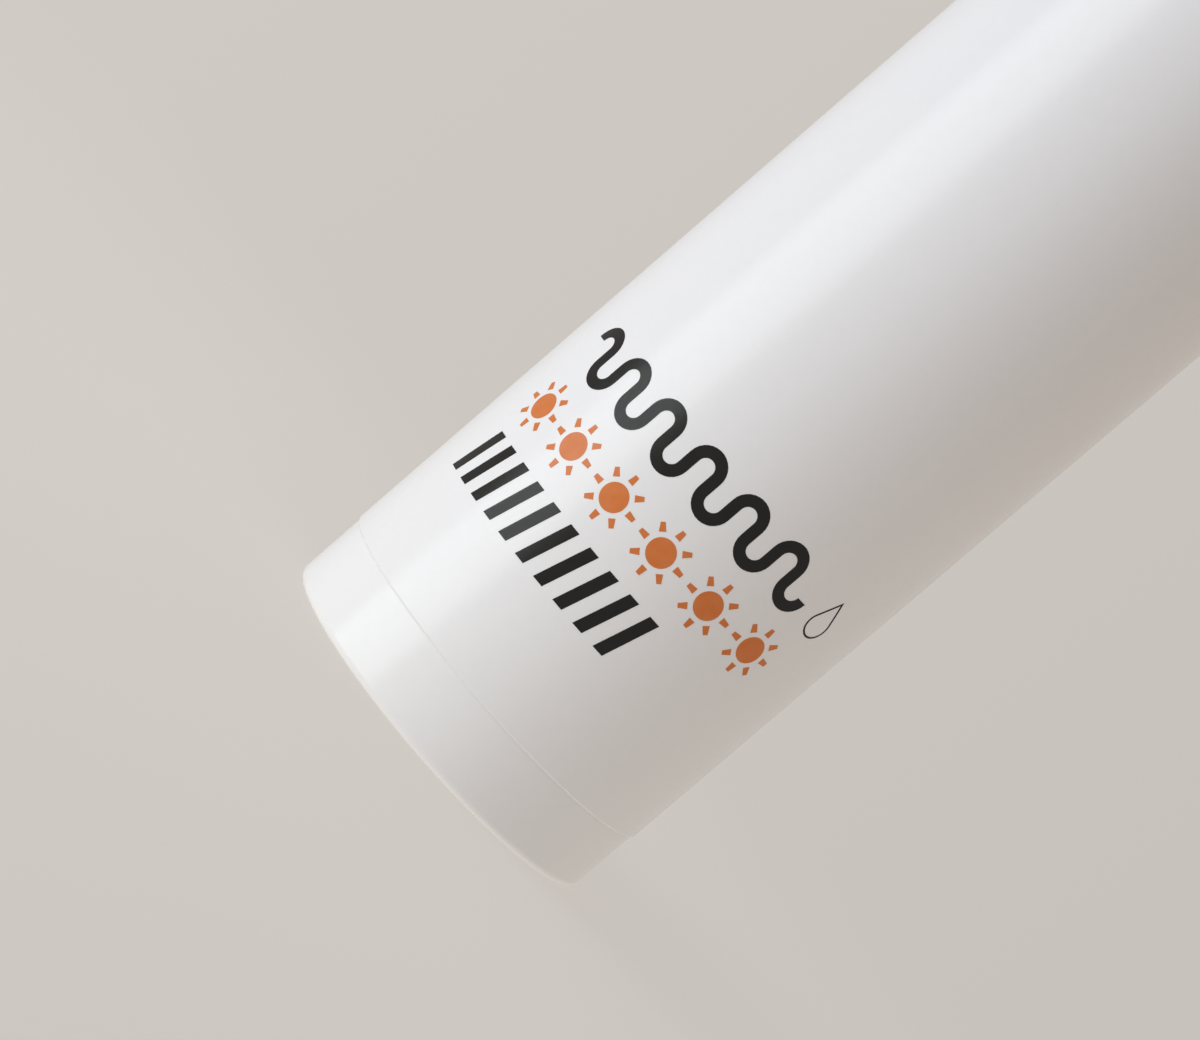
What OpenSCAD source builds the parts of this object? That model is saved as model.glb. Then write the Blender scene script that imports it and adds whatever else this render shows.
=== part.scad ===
// Airless pump bottle for a cream or lotion, standing upright on its base.
// The origin is the centre of the foot and +Z runs up the bottle. The nozzle faces -Y.
// Millimetres. Every piece is drawn where it sits in the closed, full bottle.

/* [Body] */
// Outer diameter of the body tube, and of the overcap that stands flush on it
body_d = 45; // [42:0.5:52]
// Wall of the body tube
body_wall = 2; // [1.6:0.1:2.4]
// Height of the body tube, from the top of the base band to the shoulder
body_h = 105.5; // [85:0.5:130]
// Thickness of the shoulder that closes the top of the tube
shoulder_t = 2.5; // [2:0.1:3.2]
// Height of the neck above the shoulder
neck_h = 6; // [5.5:0.1:7]
// Wall of the neck
neck_wall = 2; // [1.6:0.1:2.4]

/* [Base] */
// Height of the visible base band
base_h = 8.5; // [7:0.5:11]
// How far the band stands back from the body tube, on the radius
base_step = 0.2; // [0.1:0.05:0.4]
// Rounding of the band's lower edge
base_edge_r = 1; // [0.6:0.1:1.4]
// Width of the foot ring that the bottle stands on
foot_w = 2.4; // [2:0.1:3]
// Height of the underside above the foot
base_recess = 1.2; // [0.8:0.1:1.6]
// Thickness of the base floor
base_floor_t = 1.6; // [1.2:0.1:2]
// Height of the spigot that plugs into the tube
spigot_h = 6; // [5:0.5:8]
// Wall of the spigot
spigot_wall = 1.6; // [1.3:0.1:2]
// Diameter of the air vent in the base floor
vent_d = 6; // [3:0.5:8]
// Number of stiffening ribs on the base floor
base_ribs = 8; // [4:1:12]

/* [Follower piston] */
// Height of the follower piston
follower_h = 17; // [16.5:0.5:20]
// Thickness of its crown and of its well
follower_web = 1.4; // [1.1:0.1:1.6]
// Wall of its skirt
follower_skirt = 1.4; // [1.1:0.1:1.8]
// Height of each wiper lip
wiper_h = 1.8; // [1.2:0.1:2.4]

/* [Pump] */
// Travel of the pump head
pump_stroke = 4.5; // [3.5:0.1:5]
// Travel of the stem inside the piston seal that opens and shuts the outlet
lost_motion = 1; // [0.7:0.1:1.3]
// Bore of the pump barrel
barrel_d = 13; // [12.4:0.1:14]
// Wall of the pump barrel
barrel_wall = 1.5; // [1.2:0.1:1.8]
// Thickness of the flange that hangs the pump on the neck
flange_t = 1.5; // [1.2:0.1:2]
// Thickness of the neck gasket
gasket_t = 1; // [0.8:0.1:1.4]
// Outer diameter of the stem
stem_d = 6.8; // [6.4:0.1:7.2]
// Bore of the stem
stem_bore_d = 3; // [2.4:0.1:3.2]
// Height of the piston seal
seal_h = 5.6; // [5:0.1:6.2]
// Diameter of the inlet ball
ball_d = 4; // [3.4:0.1:4.4]
// Lift of the inlet ball
ball_lift = 1; // [0.6:0.1:1.2]

/* [Spring] */
// Wire of the return spring
wire_d = 1.1; // [0.9:0.05:1.3]
// Mean diameter of the return spring
spring_d = 13.2; // [12.8:0.1:14]
// Length of the return spring at rest, a little compressed
spring_h = 12.8; // [12:0.1:14]
// Turns of the return spring
spring_turns = 5; // [4:1:6]

/* [Collar] */
// Wall of the collar
collar_wall = 1.6; // [1.3:0.1:2]
// How far the actuator's skirt stays inside the collar at rest
skirt_overlap = 2; // [1.5:0.1:3]
// Thickness of the collar's deck, which holds the pump down
collar_deck_t = 1.5; // [1.2:0.1:2]

/* [Actuator] */
// Wall of the actuator's skirt
actuator_wall = 1.4; // [1.1:0.1:1.8]
// Thickness of the actuator's roof
roof_t = 2; // [1.6:0.1:2.4]
// Diameter of the nozzle insert
nozzle_d = 4.4; // [4:0.1:5]
// Diameter of the orifice
orifice_d = 1.5; // [1:0.1:2]
// Depth of the finger dish in the roof
dish_depth = 0.8; // [0.4:0.1:1]

/* [Overcap] */
// Wall of the overcap
cap_wall = 2; // [1.6:0.1:2.4]
// Thickness of the overcap's top
cap_top_t = 2; // [1.6:0.1:2.6]
// Room between the actuator's roof and the overcap's top
cap_headroom = 6; // [5:0.5:12]
// Rounding of the overcap's upper edge
cap_edge_r = 1.2; // [0.6:0.1:1.5]
// Number of ribs that grip the collar
grip_ribs = 6; // [4:1:12]

/* [Fits] */
// Clearance between pieces that are pressed or snapped together
fit_gap = 0.05; // [0.03:0.01:0.08]
// Running clearance of the wipers, the piston seal and the stem
slide_gap = 0.06; // [0.04:0.01:0.09]
// Clearance between the overcap and the collar
cap_gap = 0.3; // [0.25:0.05:0.5]
// Clearance between the actuator and the collar
actuator_gap = 0.4; // [0.3:0.05:0.6]

/* [Hidden] */
$fn = 96;
// Overrun of a cut past the face that it opens
cut = 1;

// Body tube: parting lines, the snap groove for the base, and the neck's bead
line_chamfer = 0.15;
rim_chamfer = 0.25;
snap_proud = 0.35;
snap_half_h = 0.7;
neck_bead_proud = 0.6;
neck_bead_h = 1.2;
neck_gap = 1;
body_r = body_d / 2;
bore_r = body_r - body_wall;
shoulder_z = base_h + body_h;
chamber_top_z = shoulder_z - shoulder_t;
neck_top_z = shoulder_z + neck_h;
barrel_r = barrel_d / 2;
barrel_out_r = barrel_r + barrel_wall;
neck_bore_r = barrel_out_r + neck_gap;
neck_r = neck_bore_r + neck_wall;

// Base cup: spigot, snap bead and ribs
spigot_lead = 0.5;
rib_t = 1;
rib_h = 2.4;
band_r = body_r - base_step;
spigot_r = bore_r - fit_gap;
spigot_in_r = spigot_r - spigot_wall;
spigot_top_z = base_h + spigot_h;
snap_z = base_h + spigot_h / 2;
floor_top_z = base_recess + base_floor_t;

// Pump: heights are worked down from the flange that hangs on the neck
plug_h = 5.5;
tip_flange_t = 1.2;
tip_gap = 0.4;
tip_flange_r = 4.6;
tip_pin_h = 1.8;
spokes = 3;
spoke_t = 1;
spoke_w = 1.4;
retainer_ring_h = 2.3;
retainer_wall = 3;
ball_stop_gap = 0.05;
ball_side_gap = 1;
seat_gap = 0.05;
inlet_r = 1.1;
inlet_land = 1.2;
barrel_nose = 2.5;
flange_z = neck_top_z + gasket_t;
flange_top_z = flange_z + flange_t;
seal_top_z = flange_top_z - plug_h;
seal_bottom_z = seal_top_z - seal_h;
tip_bottom_z = seal_bottom_z - tip_flange_t;
retainer_top_z = tip_bottom_z - pump_stroke - tip_gap;
spoke_z = retainer_top_z - spoke_t;
ball_r = ball_d / 2;
ball_z = spoke_z - ball_stop_gap - ball_lift - ball_r;
barrel_floor_z = spoke_z - retainer_ring_h;
pocket_r = ball_r + ball_side_gap;
// Height of the 45 degree seat cone at a radius, a seat gap clear of the ball
function seat_z(r) = ball_z - (ball_r + seat_gap) * sqrt(2) + r;
housing_bottom_z = seat_z(inlet_r) - inlet_land;

// Stem and piston seal
spindle_r = 2.6;
port_r = 0.8;
seal_lip_h = 1.2;
seal_waist = 0.6;
inner_lip_h = 1.4;
passage_gap = 0.7;
stem_r = stem_d / 2;
stem_bore_r = stem_bore_d / 2;
stem_shoulder_z = seal_top_z + lost_motion;
port_z = seal_bottom_z + tip_pin_h + port_r;

// Closing cap
cap_deck_t = 1.2;
guide_wall = 1.1;
guide_h = 1.8;
guide_r = stem_r + slide_gap;
cap_deck_top_z = flange_top_z + cap_deck_t;
cap_deck_r = spring_d / 2 + wire_d + wire_d / 2;
guide_top_z = cap_deck_top_z + guide_h;

// Collar
deck_hole_gap = 0.2;
snap_wall = 1.5;
snap_hook = 0.5;
snap_hook_half_h = 0.5;
collar_edge = 0.4;
cap_bore_r = body_r - cap_wall;
collar_r = cap_bore_r - cap_gap;
collar_in_r = collar_r - collar_wall;
collar_deck_top_z = flange_top_z + collar_deck_t;
hook_in_r = neck_r + neck_bead_proud + fit_gap;

// Actuator
skirt_gap = 0.5;
nozzle_over_collar = 0.5;
nozzle_under_roof = 0.4;
nozzle_depth = 3;
nozzle_proud = 0.9;
nozzle_edge = 0.3;
hub_wall = 2.1;
hub_gap = 0.5;
seat_w = 2;
channel_r = 1.1;
spout_wall = 0.9;
roof_edge_r = 1.4;
dish_edge = 2.6;
actuator_r = collar_in_r - actuator_gap;
skirt_bottom_z = collar_deck_top_z + pump_stroke + skirt_gap;
collar_top_z = skirt_bottom_z + skirt_overlap;
nozzle_r = nozzle_d / 2;
nozzle_z = collar_top_z + nozzle_over_collar + pump_stroke + nozzle_r;
roof_top_z = nozzle_z + nozzle_r + nozzle_under_roof + roof_t;
roof_z = roof_top_z - roof_t;
spring_seat_z = cap_deck_top_z + spring_h;
hub_r = stem_r + hub_wall;
hub_bottom_z = guide_top_z + pump_stroke + hub_gap;
stem_top_z = spring_seat_z;
seat_r = hub_r + seat_w;
dish_r = actuator_r - dish_edge;
// Radius of a ball that cuts a dish of this depth and this rim
dish_ball_r = (dish_r * dish_r + dish_depth * dish_depth) / (2 * dish_depth);

// Overcap
rib_proud = 0.2;
grip_rib_w = 1.2;
grip_rib_h = 9;
grip_rib_lift = 2;
cap_inside_z = roof_top_z + cap_headroom;
cap_top_z = cap_inside_z + cap_top_t;

// Follower piston
follower_gap = 0.5;
well_gap = 0.6;
well_side_gap = 1.4;
wiper_proud = 0.5;
wiper_taper = 0.8;
wiper_r = bore_r - slide_gap;
follower_r = wiper_r - wiper_proud;
follower_in_r = follower_r - follower_skirt;
follower_top_z = spigot_top_z + follower_h;
well_r = barrel_out_r + well_side_gap;
well_floor_z = follower_top_z - (chamber_top_z - housing_bottom_z) - well_gap + follower_gap;

// Spring
spring_sides = 8;
spring_rings_per_turn = 12;
spring_rings = spring_turns * spring_rings_per_turn;
spring_r = spring_d / 2;
wire_r = wire_d / 2;
function spring_point(i) = [
    spring_r * cos(360 * i / spring_rings_per_turn),
    spring_r * sin(360 * i / spring_rings_per_turn),
    cap_deck_top_z + wire_r + (spring_h - wire_d) * i / spring_rings
];
// Least distance between the wire's surfaces, over points at least half a turn apart
spring_least_gap = min([
    for (i = [0 : spring_rings], j = [0 : spring_rings])
        if (j - i >= spring_rings_per_turn / 2) norm(spring_point(i) - spring_point(j)) - wire_d
]);
echo(spring_least_gap_mm = spring_least_gap);

white = "#f0f0f0";
natural = "#e6e8e4";
steel = "#c3c6c9";
rubber_white = "#d9d9d6";

// A solid of revolution about the bottle's axis, from a profile in radius and height
module turned() {
    rotate_extrude() children();
}

// What a rounding takes off a profile's outer corner at radius r and height z; up is 1 or -1
module edge_rounding(r, z, edge_r, up) {
    translate([r - edge_r, z - up * edge_r])
        difference() {
            translate([0, up > 0 ? 0 : -edge_r - cut]) square(edge_r + cut);
            circle(edge_r);
        }
}

// Injection-moulded cup that plugs the tube and carries the visible base band
module base_cup() {
    color(white) {
        difference() {
            turned() difference() {
                polygon([
                    [band_r, 0],
                    [band_r, base_h - line_chamfer],
                    [band_r - line_chamfer, base_h],
                    [spigot_r, base_h],
                    [spigot_r, snap_z - snap_half_h],
                    [spigot_r + snap_proud, snap_z],
                    [spigot_r, snap_z + snap_half_h],
                    [spigot_r, spigot_top_z - spigot_lead],
                    [spigot_r - spigot_lead, spigot_top_z],
                    [spigot_in_r, spigot_top_z],
                    [spigot_in_r, floor_top_z],
                    [0, floor_top_z],
                    [0, base_recess],
                    [band_r - foot_w, base_recess],
                    [band_r - foot_w, 0]
                ]);
                edge_rounding(band_r, 0, base_edge_r, -1);
            }
            cylinder(r = vent_d / 2, h = floor_top_z + cut);
        }
        for (i = [0 : base_ribs - 1])
            rotate(360 * i / base_ribs)
                translate([spigot_in_r / 3, -rib_t / 2, base_recess + base_floor_t / 2])
                    cube([spigot_in_r * 2 / 3 + spigot_wall / 2, rib_t, rib_h + base_floor_t / 2]);
    }
}

// Injection-moulded tube, shoulder and neck in one piece
module bottle_body() {
    color(white) turned() polygon([
        [bore_r, base_h],
        [body_r - line_chamfer, base_h],
        [body_r, base_h + line_chamfer],
        [body_r, shoulder_z - rim_chamfer],
        [body_r - rim_chamfer, shoulder_z],
        [neck_r, shoulder_z],
        [neck_r, neck_top_z - 2 * neck_bead_h],
        [neck_r + neck_bead_proud, neck_top_z - 2 * neck_bead_h + neck_bead_proud],
        [neck_r + neck_bead_proud, neck_top_z - neck_bead_h],
        [neck_r, neck_top_z],
        [neck_bore_r, neck_top_z],
        [neck_bore_r, chamber_top_z],
        [bore_r, chamber_top_z],
        [bore_r, snap_z + snap_half_h],
        [bore_r + snap_proud, snap_z],
        [bore_r, snap_z - snap_half_h]
    ]);
}

// Soft plastic piston that rises under the cream as the bottle empties
module follower_piston() {
    color(natural) turned() polygon([
        [wiper_r, spigot_top_z],
        [wiper_r, spigot_top_z + wiper_h],
        [follower_r, spigot_top_z + wiper_h + wiper_taper],
        [follower_r, follower_top_z - wiper_h - wiper_taper],
        [wiper_r, follower_top_z - wiper_h],
        [wiper_r, follower_top_z],
        [well_r, follower_top_z],
        [well_r, well_floor_z],
        [0, well_floor_z],
        [0, well_floor_z - follower_web],
        [well_r + follower_web, well_floor_z - follower_web],
        [well_r + follower_web, follower_top_z - follower_web],
        [follower_in_r, follower_top_z - follower_web],
        [follower_in_r, spigot_top_z]
    ]);
}

// Flat ring that seals the pump's flange on the neck
module neck_gasket() {
    color(rubber_white) turned()
        translate([barrel_out_r + fit_gap, neck_top_z])
            square([neck_r - barrel_out_r - fit_gap, gasket_t]);
}

// Barrel of the pump, with the flange above and the ball's seat below
module pump_housing() {
    color(natural) turned() polygon([
        [inlet_r, housing_bottom_z],
        [barrel_out_r - barrel_nose, housing_bottom_z],
        [barrel_out_r, housing_bottom_z + barrel_nose],
        [barrel_out_r, flange_z],
        [neck_r, flange_z],
        [neck_r, flange_top_z],
        [barrel_r, flange_top_z],
        [barrel_r, barrel_floor_z],
        [pocket_r, barrel_floor_z],
        [pocket_r, seat_z(pocket_r)],
        [inlet_r, seat_z(inlet_r)]
    ]);
}

// Steel ball that lets the cream into the barrel and not out again
module inlet_ball() {
    color(steel) translate([0, 0, ball_z]) sphere(ball_r);
}

// Pressed-in ring whose spokes stop the ball's lift
module ball_retainer() {
    ring_r = barrel_r - fit_gap;
    color(natural) union() {
        turned() translate([ring_r - retainer_wall, barrel_floor_z])
            square([retainer_wall, retainer_top_z - barrel_floor_z]);
        for (i = [1 : spokes])
            rotate(360 * i / spokes)
                translate([0, -spoke_w / 2, spoke_z])
                    cube([ring_r - retainer_wall / 2, spoke_w, spoke_t]);
    }
}

// Piston seal: it slides in the barrel, and its lower rim shuts on the stem's tip
module pump_piston() {
    lip_r = barrel_r - slide_gap;
    passage_r = spindle_r + passage_gap;
    color(natural) turned() polygon([
        [passage_r, seal_bottom_z],
        [lip_r, seal_bottom_z],
        [lip_r, seal_bottom_z + seal_lip_h],
        [lip_r - seal_waist, seal_bottom_z + seal_lip_h + seal_waist],
        [lip_r - seal_waist, seal_top_z - seal_lip_h - seal_waist],
        [lip_r, seal_top_z - seal_lip_h],
        [lip_r, seal_top_z],
        [spindle_r + slide_gap, seal_top_z],
        [spindle_r + slide_gap, seal_top_z - inner_lip_h],
        [passage_r, seal_top_z - inner_lip_h]
    ]);
}

// Hollow stem, with a thinner spindle through the piston seal and two side ports
module stem() {
    color(natural) difference() {
        turned() polygon([
            [stem_bore_r, seal_bottom_z],
            [spindle_r, seal_bottom_z],
            [spindle_r, stem_shoulder_z],
            [stem_r, stem_shoulder_z],
            [stem_r, stem_top_z],
            [stem_bore_r, stem_top_z]
        ]);
        translate([-stem_r, 0, port_z]) rotate([0, 90, 0]) cylinder(r = port_r, h = stem_d);
    }
}

// Plug in the stem's lower end, whose flange carries the piston seal
module stem_tip() {
    pin_r = stem_bore_r - fit_gap;
    color(natural) turned() polygon([
        [0, tip_bottom_z],
        [tip_flange_r, tip_bottom_z],
        [tip_flange_r, seal_bottom_z],
        [pin_r, seal_bottom_z],
        [pin_r, seal_bottom_z + tip_pin_h],
        [0, seal_bottom_z + tip_pin_h]
    ]);
}

// Plug that shuts the barrel, guides the stem and carries the spring
module closing_cap() {
    plug_r = barrel_r - fit_gap;
    color(natural) turned() polygon([
        [guide_r, seal_top_z],
        [plug_r, seal_top_z],
        [plug_r, flange_top_z],
        [cap_deck_r, flange_top_z],
        [cap_deck_r, cap_deck_top_z],
        [guide_r + guide_wall, cap_deck_top_z],
        [guide_r + guide_wall, guide_top_z],
        [guide_r, guide_top_z]
    ]);
}

// Point of the wire's surface on ring i and side k
function wire_point(i, k) =
    let (turn = 360 * i / spring_rings_per_turn, around = 360 * k / spring_sides)
    spring_point(i) + wire_r * [
        cos(turn) * cos(around),
        sin(turn) * cos(around),
        sin(around)
    ];

// Stainless wire, wound as one open helix outside the cream's path
module return_spring() {
    points = [for (i = [0 : spring_rings], k = [0 : spring_sides - 1]) wire_point(i, k)];
    function at(i, k) = i * spring_sides + k % spring_sides;
    sides = [
        for (i = [0 : spring_rings - 1], k = [0 : spring_sides - 1])
            each [
                [at(i, k), at(i, k + 1), at(i + 1, k + 1)],
                [at(i, k), at(i + 1, k + 1), at(i + 1, k)]
            ]
    ];
    first_end = [for (k = [1 : spring_sides - 2]) [at(0, 0), at(0, k + 1), at(0, k)]];
    last_end = [
        for (k = [1 : spring_sides - 2])
            [at(spring_rings, 0), at(spring_rings, k), at(spring_rings, k + 1)]
    ];
    color(steel) polyhedron(points, concat(sides, first_end, last_end));
}

// Collar that snaps over the neck's bead, holds the pump down and guides the actuator
module collar() {
    hook_z = neck_top_z - 2 * neck_bead_h - snap_hook_half_h;
    color(white) turned() polygon([
        [collar_r, shoulder_z],
        [collar_r, collar_top_z - collar_edge],
        [collar_r - collar_edge, collar_top_z],
        [collar_in_r, collar_top_z],
        [collar_in_r, collar_deck_top_z],
        [cap_deck_r + deck_hole_gap, collar_deck_top_z],
        [cap_deck_r + deck_hole_gap, flange_top_z],
        [hook_in_r, flange_top_z],
        [hook_in_r, hook_z + snap_hook_half_h],
        [hook_in_r - snap_hook, hook_z],
        [hook_in_r, hook_z - snap_hook_half_h],
        [hook_in_r, shoulder_z + neck_bead_h],
        [hook_in_r + snap_wall, shoulder_z + neck_bead_h],
        [hook_in_r + snap_wall, flange_top_z],
        [collar_in_r, flange_top_z],
        [collar_in_r, shoulder_z]
    ]);
}

// Push-down head: skirt, dished roof, hub on the stem, and the channel to the nozzle
module actuator() {
    color(white) difference() {
        union() {
            turned() difference() {
                polygon([
                    [actuator_r - actuator_wall, skirt_bottom_z],
                    [actuator_r, skirt_bottom_z],
                    [actuator_r, roof_top_z],
                    [0, roof_top_z],
                    [0, roof_z],
                    [actuator_r - actuator_wall, roof_z]
                ]);
                edge_rounding(actuator_r, roof_top_z, roof_edge_r, 1);
            }
            translate([0, 0, hub_bottom_z]) cylinder(r = hub_r, h = roof_z + roof_t / 2 - hub_bottom_z);
            translate([0, 0, spring_seat_z]) cylinder(r = seat_r, h = roof_z + roof_t / 2 - spring_seat_z);
            difference() {
                translate([0, 0, nozzle_z]) rotate([90, 0, 0])
                    cylinder(r = nozzle_r + spout_wall, h = actuator_r - actuator_wall / 2);
                cylinder(r = seat_r, h = spring_seat_z);
            }
        }
        translate([0, 0, hub_bottom_z - cut])
            cylinder(r = stem_r + fit_gap, h = stem_top_z - hub_bottom_z + cut);
        translate([0, 0, stem_top_z - cut]) cylinder(r = stem_bore_r, h = nozzle_z - stem_top_z + cut);
        translate([0, 0, nozzle_z]) rotate([90, 0, 0]) cylinder(r = channel_r, h = actuator_r);
        translate([0, nozzle_depth - actuator_r, nozzle_z]) rotate([90, 0, 0])
            cylinder(r = nozzle_r + fit_gap, h = nozzle_depth + cut);
        translate([0, 0, roof_top_z - dish_depth + dish_ball_r]) sphere(dish_ball_r);
    }
}

// Nozzle pressed into the actuator's side, standing a little proud of it
module nozzle_insert() {
    inner_y = nozzle_depth - actuator_r;
    length = nozzle_depth + nozzle_proud;
    color(white) translate([0, inner_y, nozzle_z]) rotate([90, 0, 0])
        rotate_extrude() polygon([
            [orifice_d / 2, 0],
            [nozzle_r, 0],
            [nozzle_r, length - nozzle_edge],
            [nozzle_r - nozzle_edge, length],
            [orifice_d / 2, length]
        ]);
}

// Overcap that stands flush on the body and pulls off upwards
module overcap() {
    color(white) {
        turned() difference() {
            polygon([
                [cap_bore_r, shoulder_z],
                [body_r - rim_chamfer, shoulder_z],
                [body_r, shoulder_z + rim_chamfer],
                [body_r, cap_top_z],
                [0, cap_top_z],
                [0, cap_inside_z],
                [cap_bore_r, cap_inside_z]
            ]);
            edge_rounding(body_r, cap_top_z, cap_edge_r, 1);
        }
        for (i = [0 : grip_ribs - 1])
            rotate(360 * (i + 1 / 2) / grip_ribs)
                translate([cap_bore_r - rib_proud, -grip_rib_w / 2, shoulder_z + grip_rib_lift])
                    cube([rib_proud + cap_wall / 2, grip_rib_w, grip_rib_h]);
    }
}

base_cup();
bottle_body();
follower_piston();
neck_gasket();
pump_housing();
inlet_ball();
ball_retainer();
pump_piston();
stem();
stem_tip();
closing_cap();
return_spring();
collar();
actuator();
nozzle_insert();
overcap();
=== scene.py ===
# Looks of a white airless pump bottle for sunscreen cream, on a pale studio floor.
import math

import bmesh
import bpy
from mathutils import Matrix, Vector


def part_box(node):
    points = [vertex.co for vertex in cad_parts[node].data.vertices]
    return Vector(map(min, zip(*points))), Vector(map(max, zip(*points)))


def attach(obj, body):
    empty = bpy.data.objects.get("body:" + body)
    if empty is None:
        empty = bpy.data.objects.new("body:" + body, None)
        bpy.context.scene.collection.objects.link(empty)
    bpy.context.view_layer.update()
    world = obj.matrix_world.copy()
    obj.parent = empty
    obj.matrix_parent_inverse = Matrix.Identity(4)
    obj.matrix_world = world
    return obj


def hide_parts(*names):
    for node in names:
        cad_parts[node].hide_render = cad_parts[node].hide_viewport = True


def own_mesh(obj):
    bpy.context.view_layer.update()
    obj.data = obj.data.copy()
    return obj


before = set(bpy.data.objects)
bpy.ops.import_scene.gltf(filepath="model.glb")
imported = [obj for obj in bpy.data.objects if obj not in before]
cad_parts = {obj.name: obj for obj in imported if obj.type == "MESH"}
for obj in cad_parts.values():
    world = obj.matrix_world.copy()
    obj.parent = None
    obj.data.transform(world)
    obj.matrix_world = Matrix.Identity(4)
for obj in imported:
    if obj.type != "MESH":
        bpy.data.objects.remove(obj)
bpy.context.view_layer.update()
bpy.context.scene.view_settings.view_transform = "Standard"

# Camera
# A long lens, level with the lower part of the tube, tilted down a little and rolled about its own
# axis, so the bottle runs from the lower left of the picture to the upper right and leaves it there.
mm = 0.001
lens_mm = 105
sensor_mm = 36
nearest_mm = 10
camera_place_mm = Vector((-5.5, -371.8, 60.1))
camera_tilt_down = 4.97
camera_roll = 49.29
camera_data = bpy.data.cameras.new("camera")
camera_data.lens = lens_mm
camera_data.sensor_width = sensor_mm
camera_data.clip_start = nearest_mm * mm
camera = bpy.data.objects.new("camera", camera_data)
bpy.context.scene.collection.objects.link(camera)
camera.matrix_world = (
    Matrix.Translation(camera_place_mm * mm)
    @ Matrix.Rotation(math.radians(90 - camera_tilt_down), 4, "X")
    @ Matrix.Rotation(math.radians(camera_roll), 4, "Z")
)
bpy.context.scene.camera = camera

# Studio
# A matt floor that fades into an even backdrop of the same warm grey and throws light up like a
# card, one tall soft light at the left and a little in front, which the floor doesn't block, and
# dim air that is warmer at the right.
backdrop_left_hex = "cfcac4"
backdrop_right_hex = "c7c2bc"
backdrop_reach = 0.18
right_hex, right_strength = "ffe9ca", 0.44
left_hex, left_strength = "f7f1ff", 0.4
above_hex, above_strength = "ffffff", 0.5
card_hex, card_upwards, card_sideways = "fff8ef", 1.12, 0.24
floor_hex = "898783"
floor_shading_share = 0.25
floor_radius = 0.3
floor_sides = 96
floor_fade_from = 0.02
floor_fade_to = 0.26
key_azimuth = 62
key_distance = 0.9
key_height = 0.15
key_width = 0.65
key_length = 1.2
key_power = 5.35
key_hex = "f7feff"


def linear(colour):
    """The linear RGBA of an sRGB hex colour."""
    parts = [int(colour[i : i + 2], 16) / 255 for i in (0, 2, 4)]
    return [p / 12.92 if p <= 0.04045 else ((p + 0.055) / 1.055) ** 2.4 for p in parts] + [1]


def add_node(tree, kind, values=None, links=None, **properties):
    """A new node with its properties, its sockets' values and the sockets that feed it."""
    node = tree.nodes.new(kind)
    for name, value in properties.items():
        setattr(node, name, value)
    for name, value in (values or {}).items():
        node.inputs[name].default_value = value
    for name, source in (links or {}).items():
        tree.links.new(source, node.inputs[name])
    return node


def seen_directly(tree):
    """1 where the camera, a reflection or a ray through glass meets the backdrop, and 0 for light."""
    rays = add_node(tree, "ShaderNodeLightPath")
    seen = rays.outputs["Is Camera Ray"]
    for kind in ("Is Glossy Ray", "Is Transmission Ray"):
        both = add_node(
            tree, "ShaderNodeMath", links={0: seen, 1: rays.outputs[kind]}, operation="MAXIMUM")
        seen = both.outputs[0]
    return seen


def across(tree, spot, reach):
    """The backdrop's colour at a spot, from the left to the right of the bottle."""
    sideways = add_node(tree, "ShaderNodeSeparateXYZ", links={0: spot})
    share = add_node(
        tree, "ShaderNodeMapRange", {"From Min": -reach, "From Max": reach},
        {"Value": sideways.outputs["X"]})
    colour = add_node(tree, "ShaderNodeValToRGB", links={"Fac": share.outputs[0]})
    colour.color_ramp.elements[0].color = linear(backdrop_left_hex)
    colour.color_ramp.elements[1].color = linear(backdrop_right_hex)
    return colour.outputs[0]


world = bpy.data.worlds.new("studio")
bpy.context.scene.world = world
world.use_nodes = True
world.cycles.sampling_method = "NONE"
air = world.node_tree
air.nodes.clear()
direction = add_node(air, "ShaderNodeTexCoord").outputs["Generated"]
backdrop = add_node(
    air, "ShaderNodeBackground", links={"Color": across(air, direction, backdrop_reach)})
heading = add_node(air, "ShaderNodeSeparateXYZ", links={0: direction})
glows = []
for axis, start, end, glow_hex, strength in (
        ("X", 0, 1, right_hex, right_strength),
        ("X", 1, -1, left_hex, left_strength),
        ("Z", 0, 1, above_hex, above_strength)):
    rise = add_node(
        air, "ShaderNodeMapRange", {"From Min": start, "From Max": end, "To Max": strength},
        {"Value": heading.outputs[axis]})
    glow = add_node(
        air, "ShaderNodeBackground", {"Color": linear(glow_hex)}, {"Strength": rise.outputs[0]})
    glows.append(glow.outputs[0])
sides = add_node(air, "ShaderNodeAddShader", links={0: glows[0], 1: glows[1]})
fill = add_node(air, "ShaderNodeAddShader", links={0: sides.outputs[0], 1: glows[2]})
air_mix = add_node(air, "ShaderNodeMixShader", links={
    0: seen_directly(air), 1: fill.outputs[0], 2: backdrop.outputs[0]})
add_node(air, "ShaderNodeOutputWorld", links={"Surface": air_mix.outputs[0]})

floor_paint = bpy.data.materials.new("matt paper floor")
floor_paint.use_nodes = True
paper = floor_paint.node_tree
paper.nodes.clear()
floor_spot = add_node(paper, "ShaderNodeTexCoord").outputs["Object"]
floor_reach = add_node(paper, "ShaderNodeVectorMath", links={0: floor_spot}, operation="LENGTH")
floor_fade = add_node(
    paper, "ShaderNodeMapRange", {"From Min": floor_fade_from, "From Max": floor_fade_to},
    {"Value": floor_reach.outputs["Value"]}, interpolation_type="SMOOTHSTEP")
floor_matt = add_node(paper, "ShaderNodeBsdfDiffuse", {"Color": linear(floor_hex)})
floor_even = add_node(
    paper, "ShaderNodeEmission", {"Strength": 1 - floor_shading_share},
    {"Color": across(paper, floor_spot, backdrop_reach * floor_fade_to)})
floor_shaded = add_node(paper, "ShaderNodeAddShader", links={
    0: floor_even.outputs[0], 1: floor_matt.outputs[0]})
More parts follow.
